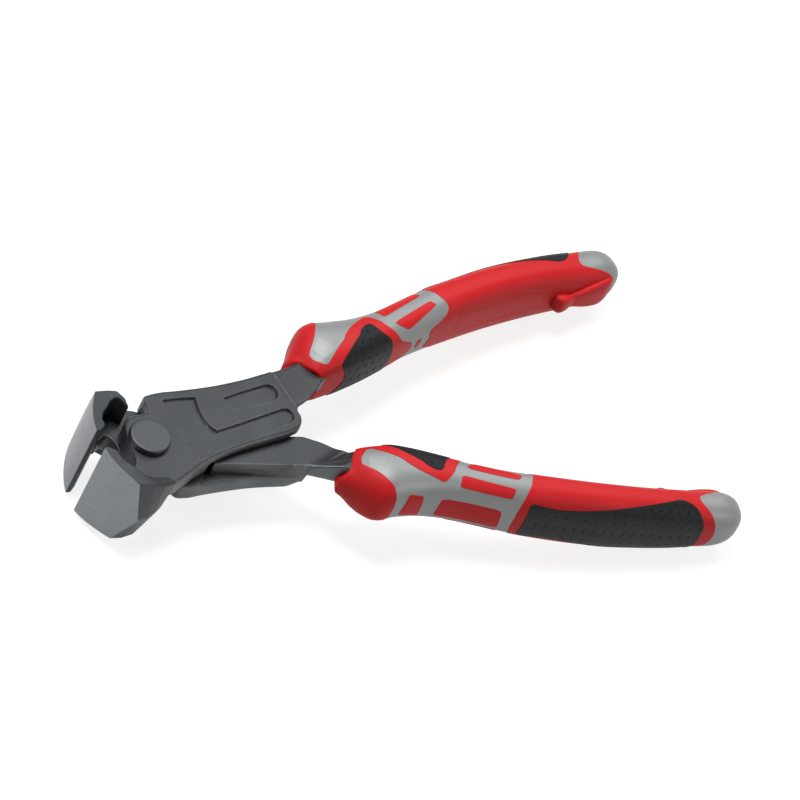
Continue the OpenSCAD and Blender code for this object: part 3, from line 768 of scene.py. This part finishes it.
def moulded_finish(name, dark, light, rough, grain, bump_strength, metallic=0.0):
    """Moulded plastic: two near tones in a soft cloud, the fine grain of the mould in
    bump and roughness, and painted shade, near black, on the floors of the pits that the mesh marks."""
    painted_pit_shade = (0.0006, 0.0006, 0.0007, 1)
    material, shader, add, feed = new_material(name)
    where = add("ShaderNodeTexCoord").outputs["Object"]
    fine = cloud_of(add, where, scale=grain, detail=2.0)
    cloud = cloud_of(add, where, scale=60.0, detail=3.0)
    blend = add("ShaderNodeMath", {0: fine, 1: cloud, 2: 0.25}, operation="MULTIPLY_ADD").outputs[0]
    # Painted shade: near black in the dimples' floors, by the share the mesh marks
    pit_shade = add("ShaderNodeAttribute", attribute_name="pit_shade").outputs["Fac"]
    tone = tone_between(add, blend, (*dark, 1), (*light, 1))
    feed("Base Color", tone_between(add, pit_shade, tone, painted_pit_shade))
    feed("Roughness", rough_between(add, cloud, *rough))
    feed("Normal", bump_of(add, fine, strength=bump_strength, depth=0.0001))
    shader.inputs["Metallic"].default_value = metallic
    shader.inputs["Specular IOR Level"].default_value = 0.2
    return material


silver_grey = moulded_finish(
    "silver_grey", dark=(0.228, 0.242, 0.236), light=(0.31, 0.322, 0.316),
    rough=(0.42, 0.54), grain=3200.0, bump_strength=0.25, metallic=0.3,
)
core_front, core_rear, core_depth = 0.012, 0.9, 1.2

core = grip_tube(
    lambda turn: front_border(turn) + core_front, lambda turn: core_rear + 0 * turn,
    rise=0.0, depth=core_depth, rows=130,
)
add_to_both("silver_core", "grip_core", [core], silver_grey)

# Guards: soft red skin over the front of each core. A collar swells to the outer side,
# and a second field on the inner side frames the finger pad.

soft_red = moulded_finish(
    "soft_red", dark=(0.47, 0.008, 0.011), light=(0.57, 0.014, 0.017),
    rough=(0.46, 0.58), grain=2600.0, bump_strength=0.2,
)
skin_rise, skin_depth = 0.14, 0.35
sheet_wall = 0.25
collar_depth, collar_lip = 3.3, (0.45, 0.7)
field_lift = 0.02

# Turn with the share of the grip's length at each border
collar_rear_places = [
    [0, 0.0945], [26, 0.0912], [40, 0.087], [53, 0.081], [66, 0.068], [74.5, 0.057], [80, 0.044],
    [83.5, 0.032], [86, 0.0245], [90, 0.0235], [100, 0.028], [110, 0.036], [117, 0.0425], [119.5, 0.05],
    [122, 0.066], [126, 0.07], [150, 0.07], [180, 0.07],
]
field_front_places = [
    [57.5, 0.2085], [58.2, 0.2035], [59.5, 0.2], [62, 0.194], [65, 0.187], [78, 0.151], [85.5, 0.1325],
    [95, 0.103], [104, 0.08], [112, 0.062], [118, 0.05], [121, 0.043], [124, 0.036], [130, 0.031],
    [150, 0.03], [180, 0.03],
]
field_rear_places = [
    [57.5, 0.209], [58.2, 0.212], [59.5, 0.2135], [62, 0.2155], [66, 0.2205], [72, 0.2255],
    [85, 0.238], [100, 0.2505], [126, 0.267], [140, 0.275], [151, 0.284], [160, 0.3],
    [168, 0.318], [176, 0.329], [180, 0.331],
]


def border_of(places):
    """Border as a share for a turn, through places given from 0 to 180 degrees."""
    return lambda turn: curve_through(places, folded(turn))


def two_sheets(top, under):
    """Closed shell of an upper and a lower sheet of like grids and the wall between
    their borders."""
    rows, columns = top.shape[:2]
    sheet = grid_faces(rows, columns)
    grid = np.arange(rows * columns).reshape(rows, columns)
    ring = np.concatenate([grid[0, :-1], grid[:-1, -1], grid[-1, :0:-1], grid[:0:-1, 0]])
    after = np.roll(ring, -1)
    low = rows * columns
    wall = np.stack([ring, ring + low, after + low, after], -1)
    points = np.concatenate([top.reshape(-1, 3), under.reshape(-1, 3)])
    return points, np.concatenate([sheet, sheet[:, ::-1] + low, wall])


def skin_patch(front_places, rear_places, rise, depth, rows, around, relief=None, pit_depth=0.0):
    """Closed patch of skin round the inner side of a grip between two borders, from their
    first turn to the same turn below: its outer sheet with rounded rims and any relief, a
    like sheet under it and the walls between them; with the relief's share in each place."""
    side_turn, inset_share, inset_gap = 0.3, 0.04, 1.3
    front, rear = border_of(front_places), border_of(rear_places)
    turns = np.linspace(front_places[0][0], 360 - front_places[0][0], around)
    sides = [turns[0], turns[0] + side_turn], [turns[-1] - side_turn, turns[-1]]
    turn = np.concatenate([sides[0], turns[1:-1], sides[1]])[:, None]
    start, stop = front(turn), rear(turn)
    length = (stop - start) * grip_length
    inset = np.minimum(rim_steps, length * inset_share * np.linspace(0, 1, len(rim_steps)))
    within = inset[:, -1:] * inset_gap
    middle = mix(within, length - within, np.linspace(0, 1, rows)[None])
    reach = np.concatenate([inset, middle, length - inset[:, ::-1]], 1)
    share = start + reach / grip_length
    to_side = round_length(np.minimum(turn - turn[0], turn[-1] - turn))
    border = np.minimum(np.minimum(reach, length - reach), to_side)
    level = rise - (rise + depth) * round_off(border, rim_round)
    pits = np.zeros_like(share) if relief is None else relief(share, turn + 0 * share, border)
    top = grip_point(share, turn, level - pit_depth * pits)
    under = grip_point(share, turn, -depth - sheet_wall)
    return *two_sheets(top, under), np.stack([pits, 0 * pits])


collar = grip_tube(
    front_border, border_of(collar_rear_places), skin_rise, collar_depth, rows=50, around=360, lip=collar_lip
)
field = skin_patch(
    field_front_places, field_rear_places, skin_rise + field_lift, skin_depth, rows=90, around=260
)
add_to_both("soft_guard", "guard", [collar, field], soft_red)

# Badges: plain silver-grey plates set in the lane of each core, above and below. They
# lie flush in the lane and are left bare.

badge_corners = [[0.0485, 114], [0.088, 101], [0.058, 77.5], [0.0285, 87.5]]
badge_rise = 0.03
plate_depth = 0.3


def corner_window(corners, rise, power=9, rings=14, around=120):
    """Closed plate over a rounded field with four corners in share and turn: rings that
    shrink to the field's middle, with a rounded rim and a like sheet below."""
    corners = np.asarray(corners, float)
    angle = np.linspace(0, 2 * math.pi, around, endpoint=False)
    cos, sin = np.cos(angle), np.sin(angle)
    reach = (np.abs(cos) ** power + np.abs(sin) ** power) ** (-1 / power)
    span = np.ptp(corners[:, 0]) * grip_length / 2
    border = np.concatenate([rim_steps, np.linspace(2 * rim_round, span, rings)])
    size = (1 - border / span)[:, None]
    a, b = size * reach * cos / 2 + 0.5, size * reach * sin / 2 + 0.5
    low = mix(corners[0], corners[1], a[..., None])
    high = mix(corners[3], corners[2], a[..., None])
    place = mix(low, high, b[..., None])
    level = rise - (rise + plate_depth) * round_off(border, rim_round)[:, None]
    top = grip_point(place[..., 0], place[..., 1], level)
    under = grip_point(place[..., 0], place[..., 1], -plate_depth - sheet_wall)
    points = np.concatenate([under[::-1], top])
    return points, grid_faces(*points.shape[:2], round_columns=True)


def below_too(corners):
    """The same field on the lower side of the grip."""
    return [[share, -turn] for share, turn in corners]


badges = [corner_window(corners, badge_rise) for corners in (badge_corners, below_too(badge_corners))]
add_to_both("bare_badges", "badges", badges, silver_grey)

# Finger pads: dark, grippy pads moulded in the red field on the inner side, with rows
# of small dimples left by pins in the mould.

soft_dark = moulded_finish(
    "soft_dark", dark=(0.0065, 0.0078, 0.009), light=(0.0115, 0.0135, 0.0155),
    rough=(0.5, 0.62), grain=2200.0, bump_strength=0.35,
)

pad_front_places = [
    [82, 0.1965], [82.7, 0.191], [84, 0.186], [87, 0.175], [93, 0.158], [100, 0.138], [111.5, 0.112],
    [125, 0.09], [135, 0.08], [150, 0.083], [165, 0.092], [180, 0.1],
]
pad_rear_places = [
    [82, 0.197], [82.7, 0.201], [84, 0.2045], [88, 0.212], [93, 0.217], [104, 0.224], [130, 0.243],
    [150, 0.248], [180, 0.252],
]
pad_rise, pad_depth = 0.34, 0.2
pad_radius = 8.5
dimple_step, dimple_row, dimple_slant = 3.1, 2.7, 0.3
dimple_radius, dimple_depth = 0.44, 0.16
dimple_margin, margin_blend = 1.0, 0.3


def dimples(share, turn, border):
    """Depth of round dimples, from 0 to 1, on a slanted lattice in mm along and round the
    grip, kept off the pad's border."""
    along = share * grip_length / dimple_step
    round_it = np.radians(turn) * pad_radius / dimple_row
    along = along + dimple_slant * round_it
    off_along = (along - np.round(along)) * dimple_step
    off_round = (round_it - np.round(round_it)) * dimple_row
    far = np.hypot(off_along, off_round)
    return bell(far, dimple_radius, power=4) * smooth_step((border - dimple_margin) / margin_blend)


finger_pad = skin_patch(
    pad_front_places, pad_rear_places, pad_rise, pad_depth, rows=130, around=190,
    relief=dimples, pit_depth=dimple_depth,
)
# The dimples' share also carries the painted shade in their floors
add_to_both("dimpled_finger_pad", "finger_pad", [finger_pad], soft_dark, {"pit_shade": finger_pad[2]})

# Window inlays: soft red fields shot into the windows of the core's bare waist, two on
# the outer side, two each above and below, and a small oval on the inner side.

window_fields = [
    [[0.207, -24], [0.373, -29], [0.362, 11], [0.21, 17]],
    [[0.115, -17], [0.1727, -28], [0.1636, 22], [0.1229, 29]],
]
oval_field = [[0.344, 171], [0.362, 171], [0.362, 189], [0.344, 189]]
paired_fields = [
    [[0.247, 49], [0.376, 41], [0.385, 70.5], [0.254, 82]],
    [[0.268, 96.5], [0.396, 90.5], [0.407, 103], [0.304, 132]],
]

fields = window_fields + paired_fields + [below_too(field) for field in paired_fields]
inlays = [corner_window(field, skin_rise) for field in fields]
inlays.append(corner_window(oval_field, skin_rise, power=2))
add_to_both("red_windows", "window_inlays", inlays, soft_red)

# Sleeves: soft red skin shot round the rear of each core and ended in a slant at the
# silver cap. A fine groove frames a plain field on the inner side.

sleeve_front_places = [
    [0, 0.395], [13, 0.3955], [30, 0.399], [51, 0.406], [70, 0.4135], [86, 0.4225], [100, 0.43],
    [115, 0.435], [128, 0.434], [140, 0.4255], [150, 0.409], [158, 0.392], [164, 0.383],
    [172, 0.383], [180, 0.389],
]
cap_front_places = [
    [0, 0.911], [17, 0.906], [35, 0.899], [52, 0.8905], [72, 0.877], [84, 0.868], [91, 0.864],
    [98, 0.866], [108, 0.886], [118.5, 0.91], [130, 0.93], [142, 0.9437], [160, 0.949], [180, 0.951],
]
plain_field = np.array([
    [0.467, 187], [0.468, 153], [0.561, 154.5], [0.704, 150.5], [0.735, 156], [0.7445, 165.5],
    [0.7445, 181.5], [0.7, 187], [0.586, 187],
]) * [grip_length, round_length(1)]
groove_depth, groove_width = 0.11, 0.28


def field_groove(share, turn):
    """Depth of the fine groove round the plain field on the sleeve's inner side."""
    far = outline_distance(share * grip_length, round_length(turn), plain_field)
    return groove_depth * bell(far, groove_width, power=4)


sleeve = grip_tube(
    border_of(sleeve_front_places), border_of(cap_front_places), skin_rise, skin_depth,
    rows=220, around=280, groove=field_groove,
)
add_to_both("soft_sleeve", "sleeve", [sleeve], soft_red)

# Palm pads: long dark pads moulded on the outer side of the sleeves, dimpled as the
# finger pads are.

# Share of the grip's length with the pad's half width in degrees of turn
palm_half_turns = [
    [0.4195, 27], [0.422, 34], [0.426, 38], [0.434, 38.5], [0.46, 35], [0.4908, 33], [0.54, 36],
    [0.595, 42.5], [0.65, 52], [0.7, 63.5], [0.74, 73], [0.783, 84], [0.802, 88], [0.82, 86.5],
    [0.838, 78], [0.85, 66], [0.861, 48], [0.869, 30], [0.8747, 14],
]
palm_rim_turns = np.array([0, 0.4, 0.9, 1.6, 2.5])
palm_inset_turn = 3.5
hidden_depth = 0.5


def palm_patch():
    """Palm pad over shares of the grip's length, between turns that spread towards its
    rear, with rounded rims and dimples."""
    rows, columns = 260, 120
    share = np.linspace(palm_half_turns[0][0], palm_half_turns[-1][0], rows)[:, None]
    reach = curve_through(palm_half_turns, share)
    inner = reach - palm_inset_turn
    middle = mix(-inner, inner, np.linspace(0, 1, columns)[None])
    turn = np.concatenate([-reach + palm_rim_turns, middle, reach - palm_rim_turns[::-1]], 1)
    to_ends = np.minimum(share - share[0], share[-1] - share) * grip_length
    border = np.minimum(round_length(reach - np.abs(turn)), to_ends)
    pits = dimples(share + 0 * turn, turn, border)
    level = pad_rise - (pad_rise + pad_depth) * round_off(border, rim_round) - dimple_depth * pits
    sheets = two_sheets(grip_point(share, turn, level), grip_point(share, turn, -hidden_depth))
    return *sheets, np.stack([pits, 0 * pits])


palm_pad = palm_patch()
# The dimples' share also carries the painted shade in their floors
add_to_both("dimpled_palm_pad", "palm_pad", [palm_pad], soft_dark, {"pit_shade": palm_pad[2]})

# End caps: hard silver-grey caps of the core's plastic that close the grips. They are
# moulded on, flush with the skin, and rounded off at the end.

cap_from = 0.85
cap_rise, cap_wall = 0.08, 3.0


def cap_shell():
    """Cap as rings over the grip's surface, closer together towards its end as a sine is
    near its crest, and closed in front by a flat wall to the middle."""
    rows, around = 90, 160
    turn = np.linspace(0, 360, around, endpoint=False)[None]
    share = mix(cap_from, end_at, np.sin(np.linspace(0, math.pi / 2, rows))[:, None])
    skin = grip_point(share, turn, cap_rise)
    inside = grip_point(np.full((1, 1), cap_from), turn, -cap_wall)
    hub = np.broadcast_to(inside.mean(1, keepdims=True), inside.shape)
    points = np.concatenate([hub, inside, skin])
    return points, grid_faces(*points.shape[:2], round_columns=True)


add_to_both("silver_cap", "end_cap", [cap_shell()], silver_grey)

# Lanyard eyes: a soft red hook moulded in one with the inner side of each sleeve's end.
# A round nose stands out in front, and a low arm spreads from it to the cap.

# Place along the hook with the share of the grip's length, its height and its half turn
hook_rows = [
    [0.0, 0.776, 0.0, 6.0], [0.04, 0.779, 1.8, 9.0], [0.1, 0.786, 2.8, 11.5], [0.2, 0.8, 3.0, 12.0],
    [0.3, 0.815, 2.5, 10.0], [0.37, 0.826, 1.8, 10.0], [0.48, 0.846, 1.7, 14.5], [0.6, 0.866, 1.7, 20.0],
    [0.78, 0.9, 1.5, 29.0], [0.92, 0.93, 1.0, 35.0], [0.97, 0.943, 0.5, 36.5], [1.0, 0.95, 0.0, 37.0],
]
hook_sink = 0.3


def hook_shell():
    """Hook as a low ridge along the grip's inner side: at each place a height and a half
    turn, with a round back across."""
    rows, columns = 90, 41
    along = np.linspace(0, 1, rows)
    share, height, half_turn = np.moveaxis(curve_through(hook_rows, along), -1, 0)[..., None]
    across = np.linspace(-1, 1, columns)[None]
    turn = 180 + half_turn * across
    level = skin_rise - hook_sink + (height + hook_sink) * np.sqrt(1 - across**4)
    return two_sheets(grip_point(share, turn, level), grip_point(share, turn, -hidden_depth))


add_to_both("lanyard_hook", "lanyard_eye", [hook_shell()], soft_red)

# Studio: a pale floor under the tool, a white surround and four soft lamps, seen from
# the photograph's side with a long lens.

view_azimuth, view_elevation, view_roll = (math.radians(a) for a in (-45.793, 46.571, 28.565))
view_target = Vector((0.087907, 0.008205, -0.004311))
view_distance = 2.5
image_pixels, focal_pixels = 800, 8910
sensor_width = 36.0

level = Vector((math.cos(view_azimuth), math.sin(view_azimuth), 0))
back = Vector((
    math.sin(view_azimuth) * math.cos(view_elevation),
    -math.cos(view_azimuth) * math.cos(view_elevation),
    math.sin(view_elevation),
))
upright = back.cross(level)
view_right = math.cos(view_roll) * level + math.sin(view_roll) * upright
view_up = back.cross(view_right)
camera_data = bpy.data.cameras.new("studio_camera")
camera_data.sensor_width = sensor_width
camera_data.lens = sensor_width * focal_pixels / image_pixels
camera = bpy.data.objects.new("studio_camera", camera_data)
turned_to = Matrix((view_right, view_up, back)).transposed().to_4x4()
camera.matrix_world = Matrix.Translation(view_target + back * view_distance) @ turned_to
bpy.context.scene.collection.objects.link(camera)
bpy.context.scene.camera = camera

white = (1, 1, 1, 1)
floor_size = 4.0
floor_gap = 0.0005
floor_tone, floor_glow = (0.34, 0.34, 0.34, 1), 0.8
floor_level = cad_bounds[0][2] - floor_gap
floor_mesh = bpy.data.meshes.new("studio_floor")
floor_corners = np.array([[-1, -1], [1, -1], [1, 1], [-1, 1]]) * floor_size / 2
floor_mesh.from_pydata([(*corner, floor_level) for corner in floor_corners.tolist()], [], [(0, 1, 2, 3)])
floor = bpy.data.objects.new("studio_floor", floor_mesh)
bpy.context.scene.collection.objects.link(floor)
floor_paint, floor_shader, add, feed = new_material("studio_floor")
floor_shader.inputs["Base Color"].default_value = floor_tone
floor_shader.inputs["Roughness"].default_value = 0.9
floor_shader.inputs["Specular IOR Level"].default_value = 0.0
rays = add("ShaderNodeLightPath")
seen, glossy, through = (rays.outputs[f"Is {kind} Ray"] for kind in ("Camera", "Glossy", "Transmission"))
shown = add("ShaderNodeMath", {0: seen, 1: glossy}, operation="MAXIMUM").outputs[0]
shown = add("ShaderNodeMath", {0: shown, 1: through}, operation="MAXIMUM").outputs[0]
glow = add("ShaderNodeMath", {0: shown, 1: floor_glow}, operation="MULTIPLY").outputs[0]
floor_shader.inputs["Emission Color"].default_value = white
feed("Emission Strength", glow)
floor_mesh.materials.append(floor_paint)

surround_light, surround_shown = 0.16, 1.0
world = bpy.data.worlds.new("studio_surround")
bpy.context.scene.world = world
world.use_nodes = True
nodes, links = world.node_tree.nodes, world.node_tree.links
surround = nodes["Background"]
surround.inputs["Color"].default_value = white
paths = nodes.new("ShaderNodeLightPath")
in_view = nodes.new("ShaderNodeMath")
in_view.operation = "MAXIMUM"
links.new(paths.outputs["Is Camera Ray"], in_view.inputs[0])
links.new(paths.outputs["Is Transmission Ray"], in_view.inputs[1])
strength = nodes.new("ShaderNodeMapRange")
links.new(in_view.outputs[0], strength.inputs["Value"])
strength.inputs["To Min"].default_value = surround_light
strength.inputs["To Max"].default_value = surround_shown
links.new(strength.outputs[0], surround.inputs["Strength"])

# Place, width and power of each lamp, in metres and watts
lamps = {
    "key_lamp": ((-0.1, 0.35, 1.1), 0.6, 13.0),
    "front_lamp": ((0.75, -0.8, 0.45), 0.6, 3.5),
    "left_lamp": ((-0.95, 0.25, 0.45), 0.5, 2.5),
    "rear_lamp": ((0.7, 0.4, 0.7), 0.5, 3.0),
}
for name, (place, size, power) in lamps.items():
    lamp_data = bpy.data.lights.new(name, "AREA")
    lamp_data.shape = "DISK"
    lamp_data.size = size
    lamp_data.energy = power
    lamp = bpy.data.objects.new(name, lamp_data)
    towards = (view_target - Vector(place)).to_track_quat("-Z", "Y")
    lamp.matrix_world = Matrix.Translation(Vector(place)) @ towards.to_matrix().to_4x4()
    bpy.context.scene.collection.objects.link(lamp)

bpy.context.scene.view_settings.view_transform = "Standard"
